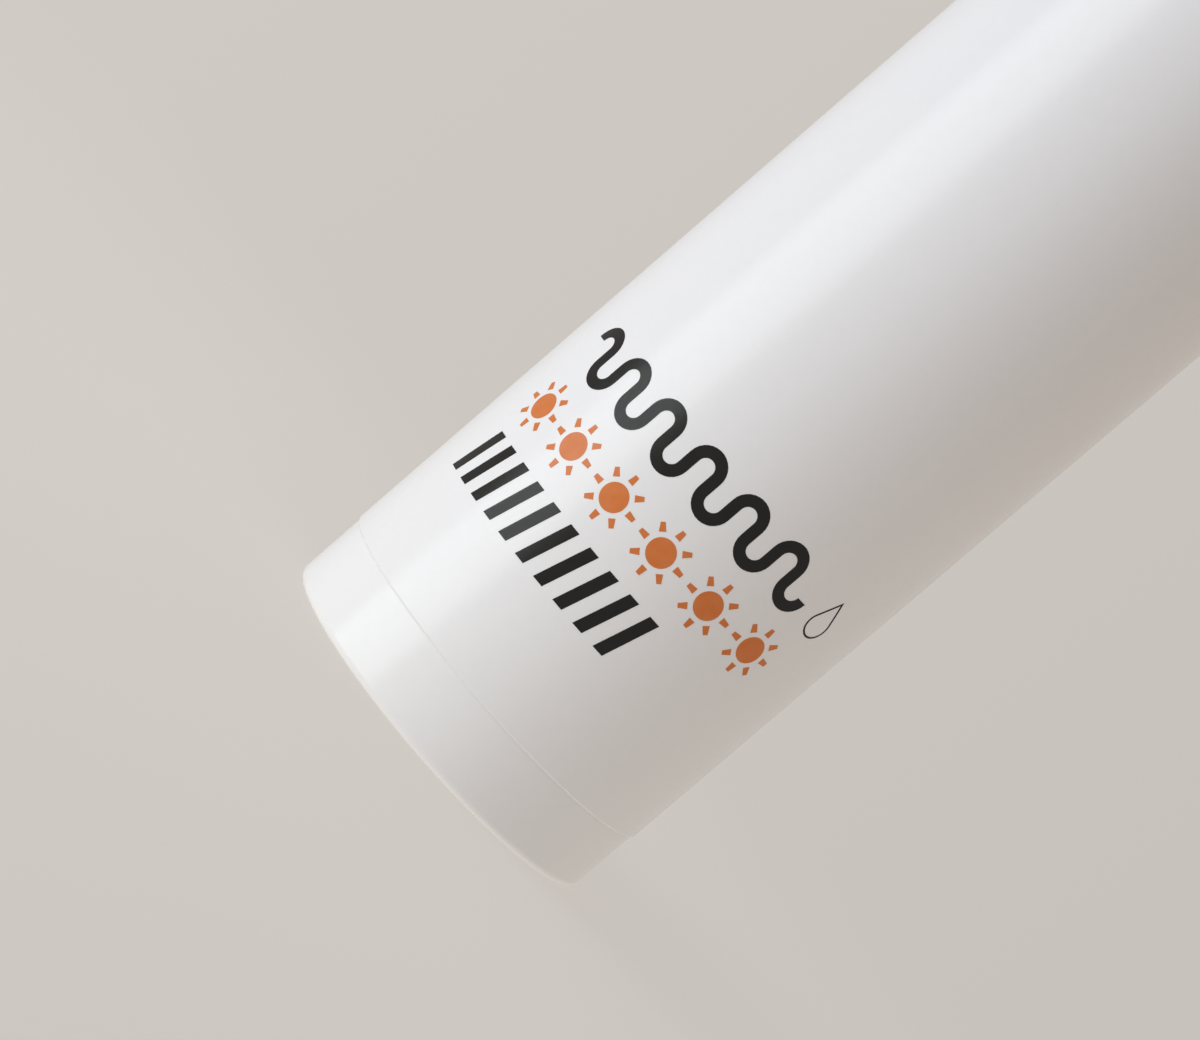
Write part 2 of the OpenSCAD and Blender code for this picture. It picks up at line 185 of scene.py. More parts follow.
card_slant = add_node(paper, "ShaderNodeLayerWeight")
card_strength = add_node(
    paper, "ShaderNodeMapRange", {"To Min": card_upwards, "To Max": card_sideways},
    {"Value": card_slant.outputs["Facing"]})
card = add_node(
    paper, "ShaderNodeEmission", {"Color": linear(card_hex)},
    {"Strength": card_strength.outputs[0]})
floor_near = add_node(paper, "ShaderNodeMixShader", links={
    0: seen_directly(paper), 1: card.outputs[0], 2: floor_shaded.outputs[0]})
floor_clear = add_node(paper, "ShaderNodeBsdfTransparent")
floor_blend = add_node(paper, "ShaderNodeMixShader", links={
    0: floor_fade.outputs[0], 1: floor_near.outputs[0], 2: floor_clear.outputs[0]})
add_node(paper, "ShaderNodeOutputMaterial", links={"Surface": floor_blend.outputs[0]})

floor_shape = bmesh.new()
bmesh.ops.create_circle(floor_shape, cap_ends=True, segments=floor_sides, radius=floor_radius)
floor_mesh = bpy.data.meshes.new("floor")
floor_shape.to_mesh(floor_mesh)
floor_shape.free()
floor_mesh.materials.append(floor_paint)
floor = bpy.data.objects.new("floor", floor_mesh)
bpy.context.scene.collection.objects.link(floor)
floor.visible_shadow = False

key_data = bpy.data.lights.new("key", "AREA")
key_data.shape = "RECTANGLE"
key_data.size = key_width
key_data.size_y = key_length
key_data.energy = key_power
key_data.color = linear(key_hex)[:3]
key_data.cycles.use_multiple_importance_sampling = False
key = bpy.data.objects.new("key", key_data)
bpy.context.scene.collection.objects.link(key)
key_from = Vector((
    -math.sin(math.radians(key_azimuth)) * key_distance,
    -math.cos(math.radians(key_azimuth)) * key_distance,
    key_height))
key_aim = Vector((0, 0, key_height))
key.location = key_from
key.rotation_euler = (key_from - key_aim).to_track_quat("Z", "Y").to_euler()

# Base cup
# A snap-in cup of injection-moulded white polypropylene. Its band shows under the tube, stands a
# little back from it and is glossier, because its mould was polished.
base_edge_mm = 1.0
foot_width_mm = 2.4
base_recess_mm = 1.2
base_floor_mm = 1.6
spigot_wall_mm = 1.6
spigot_lead_mm = 0.5
snap_height_mm = 3
snap_half_mm = 0.7
snap_proud_mm = 0.35
tube_wall_mm = 2
fit_mm = 0.05
vent_radius_mm = 3
fine_edge_mm = 0.2
soft_edge_mm = 0.3
root_mm = 0.4
base_ribs = 8
rib_length_share = 2 / 3
rib_thick_mm = 1
rib_height_mm = 2.4
gate_radius_mm = 0.7
gate_tip_share = 0.7
gate_height_mm = 0.25
gate_from_axis_mm = 4.5
gate_sides = 24
pin_marks = 4
pin_mark_radius_mm = 1.6
pin_mark_height_mm = 0.12
pin_mark_from_axis_mm = 14
pin_mark_sides = 32
turn_steps = 180
merge_mm = 0.001
ring_reach_mm = 0.002
broad_edge_mm = 0.5
broad_edge_steps, fine_edge_steps = 8, 3
sharp_from = 35
mottle_grains = 3
mottle_from, mottle_to = 0.2, 0.8
wall_wave_mm = 22
wall_wave_depth_mm = 0.012
wall_wave_up_share = 0.35
light_depth_mm = 1
light_depth_shares = (1, 0.95, 0.9)


def corners_mm(node):
    """The lowest and highest corner of a piece of the frame, in millimetres."""
    low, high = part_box(node)
    return Vector(low) / mm, Vector(high) / mm


def turned(outline_mm, steps=turn_steps):
    """A solid turned about the bottle's axis. The outline is a loop of (radius, height, rounding)."""
    shape = bmesh.new()
    corners = [shape.verts.new((radius * mm, 0, height * mm)) for radius, height, _ in outline_mm]
    pairs = zip(corners, corners[1:] + corners[:1])
    edges = [shape.edges.new(pair) for pair in pairs if pair[0].co.x + pair[1].co.x > 0]
    bmesh.ops.spin(
        shape, geom=corners + edges, axis=(0, 0, 1), cent=(0, 0, 0), angle=math.tau,
        steps=steps, use_merge=True)
    bmesh.ops.remove_doubles(shape, verts=shape.verts[:], dist=merge_mm * mm)
    bmesh.ops.recalc_face_normals(shape, faces=shape.faces[:])
    for radius, height, rounding in outline_mm:
        if rounding:
            round_ring(shape, radius, height, rounding)
    return shape


def round_ring(shape, radius, height, rounding):
    """Rounds the circular edge at that radius and height."""
    def on_ring(vert):
        return (abs(math.hypot(vert.co.x, vert.co.y) - radius * mm) < ring_reach_mm * mm
                and abs(vert.co.z - height * mm) < ring_reach_mm * mm)

    ring = [edge for edge in shape.edges if on_ring(edge.verts[0]) and on_ring(edge.verts[1])]
    steps = broad_edge_steps if rounding > broad_edge_mm else fine_edge_steps
    bmesh.ops.bevel(
        shape, geom=ring, offset=rounding * mm, affect="EDGES", segments=steps, profile=0.5,
        material=-1)


def place(shape, name, body, material, node=None):
    """Makes a piece of the shape, shaded smooth up to its sharp edges, and lets it ride on a body."""
    mesh = bpy.data.meshes.new(name)
    shape.to_mesh(mesh)
    shape.free()
    mesh.materials.append(material)
    mesh.shade_smooth()
    mesh.set_sharp_from_angle(angle=math.radians(sharp_from))
    piece = bpy.data.objects.new(name, mesh)
    bpy.context.scene.collection.objects.link(piece)
    even = piece.modifiers.new("even shading", "WEIGHTED_NORMAL")
    even.keep_sharp = True
    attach(piece, body)
    if node:
        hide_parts(node)
    return piece


def new_material(name):
    """An empty node material and its tree, with the object's own coordinates."""
    material = bpy.data.materials.new(name)
    material.use_nodes = True
    tree = material.node_tree
    tree.nodes.clear()
    return material, tree, add_node(tree, "ShaderNodeTexCoord").outputs["Object"]


def moulded_plastic(name, light_hex, dark_hex, smoothest, roughest, grain_mm, grain_depth_mm,
                    translucency=0.03):
    """Moulded plastic: a fine mottle, mould-steel grain, and the long waves of cooling walls."""
    material, tree, spot = new_material(name)
    along = add_node(
        tree, "ShaderNodeMapping", {"Scale": (1, 1, wall_wave_up_share)}, {"Vector": spot})
    mottle = add_node(
        tree, "ShaderNodeTexNoise", {"Scale": 1 / (mottle_grains * grain_mm * mm), "Detail": 3},
        {"Vector": spot})
    colour = add_node(tree, "ShaderNodeValToRGB", links={"Fac": mottle.outputs["Fac"]})
    colour.color_ramp.elements[0].position = mottle_from
    colour.color_ramp.elements[0].color = linear(dark_hex)
    colour.color_ramp.elements[1].position = mottle_to
    colour.color_ramp.elements[1].color = linear(light_hex)
    rough = add_node(
        tree, "ShaderNodeMapRange",
        {"From Min": mottle_from, "From Max": mottle_to, "To Min": smoothest, "To Max": roughest},
        {"Value": mottle.outputs["Fac"]})
    grain = add_node(
        tree, "ShaderNodeTexNoise", {"Scale": 1 / (grain_mm * mm), "Detail": 2},
        {"Vector": spot})
    wave = add_node(
        tree, "ShaderNodeTexNoise", {"Scale": 1 / (wall_wave_mm * mm), "Detail": 0},
        {"Vector": along.outputs[0]})
    waved = add_node(
        tree, "ShaderNodeBump", {"Distance": wall_wave_depth_mm * mm},
        {"Height": wave.outputs["Fac"]})
    grained = add_node(
        tree, "ShaderNodeBump", {"Distance": grain_depth_mm * mm},
        {"Height": grain.outputs["Fac"], "Normal": waved.outputs[0]})
    plastic = add_node(
        tree, "ShaderNodeBsdfPrincipled",
        {"IOR": 1.49, "Subsurface Weight": translucency,
         "Subsurface Radius": light_depth_shares, "Subsurface Scale": light_depth_mm * mm},
        {"Base Color": colour.outputs[0], "Roughness": rough.outputs[0],
         "Normal": grained.outputs[0]})
    add_node(tree, "ShaderNodeOutputMaterial", links={"Surface": plastic.outputs[0]})
    return material


# The band's white is a shade lighter than the tube's: painted light, which brings the band's lit side
# up to the tube's brightness.
polished_polypropylene = moulded_plastic(
    "polished white polypropylene", "f2f2f3", "f0f0f1", smoothest=0.19, roughest=0.21,
    grain_mm=0.5, grain_depth_mm=0.001)
_, base_high = corners_mm("base_cup")
band_radius_mm = base_high.x
tube_low, tube_high = corners_mm("bottle_body")
band_top_mm = tube_low.z
spigot_radius_mm = tube_high.x - tube_wall_mm - fit_mm
spigot_inside_mm = spigot_radius_mm - spigot_wall_mm
snap_mm = band_top_mm + snap_height_mm
base_floor_top_mm = base_recess_mm + base_floor_mm
foot_inside_mm = band_radius_mm - foot_width_mm
base_shape = turned([
    (band_radius_mm, 0, base_edge_mm),
    (band_radius_mm, band_top_mm, 0),
    (spigot_radius_mm, band_top_mm, 0),
    (spigot_radius_mm, snap_mm - snap_half_mm, 0),
    (spigot_radius_mm + snap_proud_mm, snap_mm, 0),
    (spigot_radius_mm, snap_mm + snap_half_mm, 0),
    (spigot_radius_mm, base_high.z - spigot_lead_mm, 0),
    (spigot_radius_mm - spigot_lead_mm, base_high.z, 0),
    (spigot_inside_mm, base_high.z, fine_edge_mm),
    (spigot_inside_mm, base_floor_top_mm, root_mm),
    (vent_radius_mm, base_floor_top_mm, 0),
    (vent_radius_mm, base_recess_mm, fine_edge_mm),
    (foot_inside_mm, base_recess_mm, root_mm),
    (foot_inside_mm, 0, soft_edge_mm),
])
rib_length_mm = spigot_inside_mm * rib_length_share
for i in range(base_ribs):
    rib = bmesh.ops.create_cube(base_shape, size=1)["verts"]
    bmesh.ops.scale(
        base_shape, verts=rib, vec=Vector((rib_length_mm, rib_thick_mm, rib_height_mm)) * mm)
    bmesh.ops.translate(base_shape, verts=rib, vec=Vector((
        spigot_inside_mm - rib_length_mm / 2, 0, base_floor_top_mm + rib_height_mm / 2)) * mm)
    bmesh.ops.rotate(
        base_shape, verts=rib, matrix=Matrix.Rotation(math.tau * i / base_ribs, 3, "Z"))
gate = bmesh.ops.create_cone(
    base_shape, cap_ends=True, segments=gate_sides, radius1=gate_radius_mm * gate_tip_share * mm,
    radius2=gate_radius_mm * mm, depth=2 * gate_height_mm * mm)["verts"]
bmesh.ops.translate(
    base_shape, verts=gate, vec=Vector((gate_from_axis_mm, 0, base_recess_mm)) * mm)
for i in range(pin_marks):
    mark = bmesh.ops.create_cone(
        base_shape, cap_ends=True, segments=pin_mark_sides, radius1=pin_mark_radius_mm * mm,
        radius2=pin_mark_radius_mm * mm, depth=2 * pin_mark_height_mm * mm)["verts"]
    bmesh.ops.translate(
        base_shape, verts=mark, vec=Vector((pin_mark_from_axis_mm, 0, base_recess_mm)) * mm)
    bmesh.ops.rotate(
        base_shape, verts=mark, matrix=Matrix.Rotation(math.tau * (i + 0.5) / pin_marks, 3, "Z"))
place(base_shape, "base_cup_moulding", "bottle", polished_polypropylene, "base_cup")

# Bottle body
# One moulding of white polypropylene with the tube, the shoulder and the neck. Its mould was
# lightly blasted, which gives the broad, soft highlight along the tube.
tube_line_mm = 0.22
tube_line_round_mm = 0.06
rim_round_mm = 0.25
shoulder_mm = 2.5
neck_height_mm = 6
barrel_gap_mm = 9
neck_wall_mm = 2
bead_proud_mm = 0.6
bead_height_mm = 1.2
bead_round_mm = 0.15
tube_steps = 240
satin_polypropylene = moulded_plastic(
    "satin white polypropylene", "f1f1f2", "efeff0", smoothest=0.22, roughest=0.24,
    grain_mm=0.35, grain_depth_mm=0.002)
tube_radius_mm = tube_high.x
bore_mm = tube_radius_mm - tube_wall_mm
shoulder_top_mm = tube_high.z - neck_height_mm
shoulder_under_mm = shoulder_top_mm - shoulder_mm
neck_radius_mm = barrel_gap_mm + neck_wall_mm
bead_radius_mm = neck_radius_mm + bead_proud_mm
bead_under_mm = tube_high.z - 2 * bead_height_mm
body_shape = turned([
    (bore_mm, band_top_mm, fine_edge_mm),
    (band_radius_mm, band_top_mm, 0),
    (tube_radius_mm, band_top_mm + tube_line_mm, tube_line_round_mm),
    (tube_radius_mm, shoulder_top_mm, rim_round_mm),
    (neck_radius_mm, shoulder_top_mm, soft_edge_mm),
    (neck_radius_mm, bead_under_mm, 0),
    (bead_radius_mm, bead_under_mm + bead_proud_mm, bead_round_mm),
    (bead_radius_mm, tube_high.z - bead_height_mm, bead_round_mm),
    (neck_radius_mm, tube_high.z, bead_round_mm),
    (barrel_gap_mm, tube_high.z, bead_round_mm),
    (barrel_gap_mm, shoulder_under_mm, soft_edge_mm),
    (bore_mm, shoulder_under_mm, root_mm),
    (bore_mm, snap_mm + snap_half_mm, 0),
    (bore_mm + snap_proud_mm, snap_mm, 0),
    (bore_mm, snap_mm - snap_half_mm, 0),
], steps=tube_steps)
place(body_shape, "body_moulding", "bottle", satin_polypropylene, "bottle_body")

# Print
# Three screen-printed rows on the tube, in black, orange and black ink, each a thin film with
# crisp edges: a wave, a row of suns and a row of slanted bars, with a fine drop outline.
film_mm = 0.02
film_sunk_mm = 0.02
slice_mm = 0.6
row_height_mm = 6.3
row_left_mm = -24.3
wave_row_mm, sun_row_mm, bar_row_mm = 40.3, 32.2, 24.0
wave_count = 6
wave_bend_mm = 1.62
wave_stroke_mm = 1.3
wave_step = 12
sun_count = 6
sun_pitch_mm = 7.38
sun_disc_mm = 1.6
sun_sides = 40
ray_from_mm, ray_to_mm, ray_width_mm = 2.15, 3.15, 0.75
ray_tip_share = 2 / 3
rays = 8
bar_count = 10
bar_pitch_mm = 3.1
bar_width_mm = 1.4
bar_lean_mm = 1.6
drop_place_mm = 19.6
drop_radius_mm = 1.7
drop_tip_mm = 3.6
drop_line_mm = 0.22
drop_from, drop_to, drop_step = -210, 30, 10
ink_cover_mm = 1.5
ink_cover_from, ink_cover_to = 0.35, 0.75
screen_mark_mm = 0.25
screen_mark_depth_mm = 0.002
ink_roughness = 0.24


def flat_outline(shape, points_mm):
    """One flat face from its outline, drawn with +X round the tube and +Z up it."""
    return shape.faces.new([shape.verts.new((x * mm, 0, z * mm)) for x, z in points_mm])


def wrap_print(shape, low_mm, high_mm):
    """Slices a flat print into narrow strips, gives it the film's thickness and lays it on the tube."""
    cut_mm = math.floor(low_mm)
    while cut_mm < high_mm:
        cut_mm += slice_mm
        bmesh.ops.bisect_plane(
            shape, geom=shape.verts[:] + shape.edges[:] + shape.faces[:],
            plane_co=(cut_mm * mm, 0, 0), plane_no=(1, 0, 0))
    film = bmesh.ops.extrude_face_region(shape, geom=shape.faces[:])["geom"]
    sunk = {part for part in film if isinstance(part, bmesh.types.BMVert)}
    for vert in shape.verts:
        radius_mm = tube_radius_mm + (-film_sunk_mm if vert in sunk else film_mm)
        angle = vert.co.x / (tube_radius_mm * mm)
        vert.co = (radius_mm * math.sin(angle) * mm, -radius_mm * math.cos(angle) * mm, vert.co.z)
    bmesh.ops.recalc_face_normals(shape, faces=shape.faces[:])
    return shape


def printing_ink(name, full_hex, thin_hex):
    """Screen-printing ink: solid, with a slightly uneven film over the satin plastic."""
    material, tree, spot = new_material(name)
    cover = add_node(
        tree, "ShaderNodeTexNoise", {"Scale": 1 / (ink_cover_mm * mm), "Detail": 4},
        {"Vector": spot})
    colour = add_node(tree, "ShaderNodeValToRGB", links={"Fac": cover.outputs["Fac"]})
    colour.color_ramp.elements[0].position = ink_cover_from
    colour.color_ramp.elements[0].color = linear(full_hex)
    colour.color_ramp.elements[1].position = ink_cover_to
    colour.color_ramp.elements[1].color = linear(thin_hex)
    marks = add_node(
        tree, "ShaderNodeTexNoise", {"Scale": 1 / (screen_mark_mm * mm), "Detail": 1},
        {"Vector": spot})
    marked = add_node(
        tree, "ShaderNodeBump", {"Distance": screen_mark_depth_mm * mm},
        {"Height": marks.outputs["Fac"]})
    ink = add_node(
        tree, "ShaderNodeBsdfPrincipled",
        {"Roughness": ink_roughness, "IOR": 1.5, "Specular IOR Level": 0.34},
        {"Base Color": colour.outputs[0], "Normal": marked.outputs[0]})
    add_node(tree, "ShaderNodeOutputMaterial", links={"Surface": ink.outputs[0]})
    return material


black_ink = printing_ink("black screen ink", "0e0e0d", "141413")
orange_ink = printing_ink("orange screen ink", "d57739", "d98048")

wave_shape = bmesh.new()
wave_edges = []
wave_rise_mm = row_height_mm / 2 - wave_stroke_mm / 2 - wave_bend_mm
for i in range(2 * wave_count):
    up = 1 - 2 * (i % 2)
    bend_mm = row_left_mm + wave_stroke_mm / 2 + (2 * i + 1) * wave_bend_mm
    for angle in range(0, 180 + 1, wave_step):
        reach, lift = -math.cos(math.radians(angle)), up * math.sin(math.radians(angle))
        wave_edges.append([
            (bend_mm + reach * radius_mm, wave_row_mm + up * wave_rise_mm + lift * radius_mm)
            for radius_mm in (wave_bend_mm + up * wave_stroke_mm / 2,
                              wave_bend_mm - up * wave_stroke_mm / 2)])
for start, end in zip(wave_edges, wave_edges[1:]):
    flat_outline(wave_shape, start + end[::-1])
bmesh.ops.remove_doubles(wave_shape, verts=wave_shape.verts[:], dist=merge_mm * mm)
wrap_print(wave_shape, row_left_mm, row_left_mm + 4 * wave_count * wave_bend_mm + wave_stroke_mm)
place(wave_shape, "print_waves", "bottle", black_ink)

sun_shape = bmesh.new()
for i in range(sun_count):
    sun_at = Matrix.Translation(Vector((
        row_left_mm + row_height_mm / 2 + i * sun_pitch_mm, 0, sun_row_mm)) * mm)
    bmesh.ops.create_circle(
        sun_shape, cap_ends=True, segments=sun_sides, radius=sun_disc_mm * mm,
        matrix=sun_at @ Matrix.Rotation(math.tau / 4, 4, "X"))
    for k in range(rays):
        ray = flat_outline(sun_shape, [
            (ray_from_mm, -ray_width_mm / 2), (ray_from_mm, ray_width_mm / 2),
            (ray_to_mm, ray_width_mm * ray_tip_share / 2),
            (ray_to_mm, -ray_width_mm * ray_tip_share / 2)])
        bmesh.ops.transform(
            sun_shape, verts=ray.verts[:],
            matrix=sun_at @ Matrix.Rotation(math.tau * k / rays, 4, "Y"))
wrap_print(sun_shape, row_left_mm, row_left_mm + row_height_mm + sun_count * sun_pitch_mm)
place(sun_shape, "print_suns", "bottle", orange_ink)

bar_shape = bmesh.new()
bar_low_mm, bar_high_mm = bar_row_mm - row_height_mm / 2, bar_row_mm + row_height_mm / 2
for i in range(bar_count):
    bar_left_mm = row_left_mm + i * bar_pitch_mm
    flat_outline(bar_shape, [
        (bar_left_mm, bar_low_mm),
        (bar_left_mm + bar_width_mm, bar_low_mm),
        (bar_left_mm + bar_width_mm + bar_lean_mm, bar_high_mm),
        (bar_left_mm + bar_lean_mm, bar_high_mm)])
wrap_print(bar_shape, row_left_mm, row_left_mm + bar_count * bar_pitch_mm + bar_lean_mm)
place(bar_shape, "print_bars", "bottle", black_ink)

drop_shape = bmesh.new()
drop_row_mm = wave_row_mm - row_height_mm / 2 + drop_radius_mm
drop_points = [
    (drop_place_mm + drop_radius_mm * math.cos(math.radians(angle)),
     drop_row_mm + drop_radius_mm * math.sin(math.radians(angle)))
    for angle in range(drop_from, drop_to + 1, drop_step)]
drop_face = flat_outline(drop_shape, drop_points + [(drop_place_mm, drop_row_mm + drop_tip_mm)])
drop_shape.normal_update()
bmesh.ops.inset_region(
    drop_shape, faces=[drop_face], thickness=drop_line_mm * mm, use_boundary=True,
    use_even_offset=True)
bmesh.ops.delete(drop_shape, geom=[drop_face], context="FACES_ONLY")
wrap_print(drop_shape, drop_place_mm - drop_radius_mm, drop_place_mm + drop_radius_mm)
place(drop_shape, "print_drop", "bottle", black_ink)

# Follower piston
# A one-piece piston of natural low-density polyethylene, pushed up into the tube from below. Its
# thin lips wipe the wall, and the waxy plastic lets some light through.


def finish_piece(node, material):
    """Gives a piece of the frame its material."""
    for material_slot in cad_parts[node].material_slots:
        material_slot.material = material


waxy_polyethylene = moulded_plastic(
    "waxy natural polyethylene", "e4e6e1", "dcdfd9", smoothest=0.40, roughest=0.50,
    grain_mm=0.6, grain_depth_mm=0.0015, translucency=0.5)
finish_piece("follower_piston", waxy_polyethylene)

# Neck gasket
# A ring punched from foamed polyethylene sheet, squeezed between the neck and the pump's flange.
# Its cut cells give a matt, finely pitted face.
foam_cell_mm = 0.2
foam_pit_mm = 0.05
foamed_polyethylene, foam, foam_spot = new_material("punched foamed polyethylene")
foam_cells = add_node(
    foam, "ShaderNodeTexVoronoi", {"Scale": 1 / (foam_cell_mm * mm)}, {"Vector": foam_spot})
# Painted shade in the pits: the colour darkens towards the bottom of each cell, where the bump sinks
# it.
foam_pit_shade = add_node(foam, "ShaderNodeValToRGB", links={"Fac": foam_cells.outputs["Distance"]})
foam_pit_shade.color_ramp.elements[0].color = linear("cfcfca")
foam_pit_shade.color_ramp.elements[1].color = linear("dededa")
foam_pits = add_node(
    foam, "ShaderNodeBump", {"Distance": foam_pit_mm * mm},
    {"Height": foam_cells.outputs["Distance"]})
foam_face = add_node(
    foam, "ShaderNodeBsdfPrincipled", {"Roughness": 0.8, "IOR": 1.51},
    {"Base Color": foam_pit_shade.outputs[0], "Normal": foam_pits.outputs[0]})
add_node(foam, "ShaderNodeOutputMaterial", links={"Surface": foam_face.outputs[0]})
finish_piece("neck_gasket", foamed_polyethylene)

# Pump housing and ball retainer
# The barrel with its flange, which hangs on the neck, and the ring that is pressed into its foot
# over the ball. Both are moulded in natural polypropylene, cloudy and fairly smooth.
natural_polypropylene = moulded_plastic(
    "natural polypropylene", "e2e5e1", "dadeda", smoothest=0.28, roughest=0.38,
    grain_mm=0.4, grain_depth_mm=0.001, translucency=0.35)
finish_piece("pump_housing", natural_polypropylene)
finish_piece("ball_retainer", natural_polypropylene)

# Inlet ball and return spring
# A ground stainless ball in the barrel's foot, and a spring of drawn stainless wire outside the
# barrel, wound with closed ends, which rides under the actuator and shortens as the head goes down.
wire_mm = 1.1
spring_turns = 5
closed_turns = 0.85
closed_gap_mm = 0.022
wire_sides = 14
rings_in_turn = 48
steel_mark_depth_mm = 0.002


def stainless_steel(name, smoothest, roughest, mark_mm):
    """Bright stainless steel, with the fine marks that grinding or drawing leaves."""
    material, tree, spot = new_material(name)
    marks = add_node(
        tree, "ShaderNodeTexNoise", {"Scale": 1 / (mark_mm * mm), "Detail": 4}, {"Vector": spot})
    rough = add_node(
        tree, "ShaderNodeMapRange", {"To Min": smoothest, "To Max": roughest},
        {"Value": marks.outputs["Fac"]})
    tint = add_node(tree, "ShaderNodeValToRGB", links={"Fac": marks.outputs["Fac"]})
    tint.color_ramp.elements[0].color = linear("b9b8b5")
    tint.color_ramp.elements[1].color = linear("cfceca")
    marked = add_node(
        tree, "ShaderNodeBump", {"Distance": steel_mark_depth_mm * mm},
        {"Height": marks.outputs["Fac"]})
    steel = add_node(
        tree, "ShaderNodeBsdfPrincipled", {"Metallic": 1},
        {"Base Color": tint.outputs[0], "Roughness": rough.outputs[0],
         "Normal": marked.outputs[0]})
    add_node(tree, "ShaderNodeOutputMaterial", links={"Surface": steel.outputs[0]})
    return material


ground_steel = stainless_steel("ground stainless steel", 0.08, 0.2, mark_mm=0.3)
drawn_steel = stainless_steel("drawn stainless spring wire", 0.2, 0.36, mark_mm=0.12)
finish_piece("inlet_ball", ground_steel)
spring_low, spring_high = corners_mm("return_spring")
spring_radius_mm = spring_high.x - wire_mm / 2
spring_rise_mm = spring_high.z - spring_low.z - wire_mm
closed_rise_mm = closed_turns * (wire_mm + closed_gap_mm)
spring_shape = bmesh.new()
bmesh.ops.create_circle(
    spring_shape, cap_ends=True, segments=wire_sides, radius=wire_mm / 2 * mm,
    matrix=Matrix.Translation(Vector((spring_radius_mm, 0, spring_low.z + wire_mm / 2)) * mm)
    @ Matrix.Rotation(math.tau / 4, 4, "X"))
coil = spring_shape.faces[:]
for turns, rise_mm in (
        (closed_turns, closed_rise_mm),
        (spring_turns - 2 * closed_turns, spring_rise_mm - 2 * closed_rise_mm),
        (closed_turns, closed_rise_mm)):
    steps = round(turns * rings_in_turn)
    coil = bmesh.ops.spin(
        spring_shape, geom=coil, axis=(0, 0, 1), cent=(0, 0, 0), angle=math.tau * turns,
        steps=steps, dvec=(0, 0, rise_mm * mm / steps))["geom_last"]
bmesh.ops.recalc_face_normals(spring_shape, faces=spring_shape.faces[:])
spring_piece = place(
    spring_shape, "return_spring_coil", "spring", drawn_steel, "return_spring")
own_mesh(spring_piece)

# Piston seal, stem, stem tip and closing cap
# The sliding seal is waxy polyethylene. The stem and the plug in its end are acetal, harder and
# glossier, and the cap that shuts the barrel and guides the stem is natural polypropylene.
natural_acetal = moulded_plastic(
    "natural acetal", "ecece7", "e6e6e0", smoothest=0.24, roughest=0.32,
    grain_mm=0.4, grain_depth_mm=0.0008, translucency=0.2)
finish_piece("pump_piston", waxy_polyethylene)
finish_piece("stem", natural_acetal)
finish_piece("stem_tip", natural_acetal)
finish_piece("closing_cap", natural_polypropylene)

# Collar
# A ring of the tube's satin polypropylene, snapped over the neck's bead. Its deck holds the pump's
# flange down, and its wall guides the actuator and is gripped by the overcap.
collar_wall_mm = 1.6
collar_deck_mm = 1.5
collar_hole_mm = 8.45
collar_rim_mm = 0.4
skirt_gap_mm = 0.05
skirt_wall_mm = 1.5
hook_mm = 0.5
collar_low, collar_high = corners_mm("collar")
_, flange_top = corners_mm("pump_housing")
deck_top_mm = flange_top.z + collar_deck_mm
collar_inside_mm = collar_high.x - collar_wall_mm
skirt_inside_mm = bead_radius_mm + skirt_gap_mm
skirt_outside_mm = skirt_inside_mm + skirt_wall_mm
skirt_low_mm = collar_low.z + bead_height_mm
hook_at_mm = bead_under_mm - hook_mm
collar_shape = turned([
    (collar_high.x, collar_low.z, fine_edge_mm),
    (collar_high.x, collar_high.z, collar_rim_mm),
    (collar_inside_mm, collar_high.z, soft_edge_mm),
    (collar_inside_mm, deck_top_mm, soft_edge_mm),
    (collar_hole_mm, deck_top_mm, fine_edge_mm),
    (collar_hole_mm, flange_top.z, 0),
    (skirt_inside_mm, flange_top.z, 0),
    (skirt_inside_mm, hook_at_mm + hook_mm, 0),
    (skirt_inside_mm - hook_mm, hook_at_mm, 0),
    (skirt_inside_mm, hook_at_mm - hook_mm, 0),
    (skirt_inside_mm, skirt_low_mm, 0),
    (skirt_outside_mm, skirt_low_mm, 0),
    (skirt_outside_mm, flange_top.z, soft_edge_mm),
    (collar_inside_mm, flange_top.z, soft_edge_mm),
    (collar_inside_mm, collar_low.z, fine_edge_mm),
])
place(collar_shape, "collar_moulding", "bottle", satin_polypropylene, "collar")

# Actuator
# The push-down head, one moulding of the same polypropylene: a skirt, a roof with a shallow dish
# for the finger, the hub that is pressed on the stem, and the channel from there to the nozzle.
head_wall_mm = 1.4
roof_mm = 2
roof_edge_mm = 1.4
roof_root_mm = 0.5
dish_edge_mm = 2.6
dish_round_mm = 0.5
dish_mm = 0.8
dish_rings = 10
hub_mm = 5.5
hub_bore_mm = 3.45
hub_above_guide_mm = 5
stem_bore_mm = 1.5
seat_mm = 7.5
channel_mm = 1.1
channel_overrun_mm = 1
channel_steps = 64
spout_wall_mm = 0.9
spout_overlap_mm = 1
nozzle_gap_mm = 0.05
nozzle_depth_mm = 3
head_low, head_high = corners_mm("actuator")
_, stem_high = corners_mm("stem")
_, guide_high = corners_mm("closing_cap")
nozzle_low, nozzle_high = corners_mm("nozzle_insert")
nozzle_mm = nozzle_high.x
nozzle_at_mm = nozzle_high.z - nozzle_mm
head_inside_mm = head_high.x - head_wall_mm
dish_radius_mm = head_high.x - dish_edge_mm
dish_ball_mm = (dish_radius_mm ** 2 + dish_mm ** 2) / (2 * dish_mm)
roof_under_mm = head_high.z - roof_mm
hub_low_mm = guide_high.z + hub_above_guide_mm


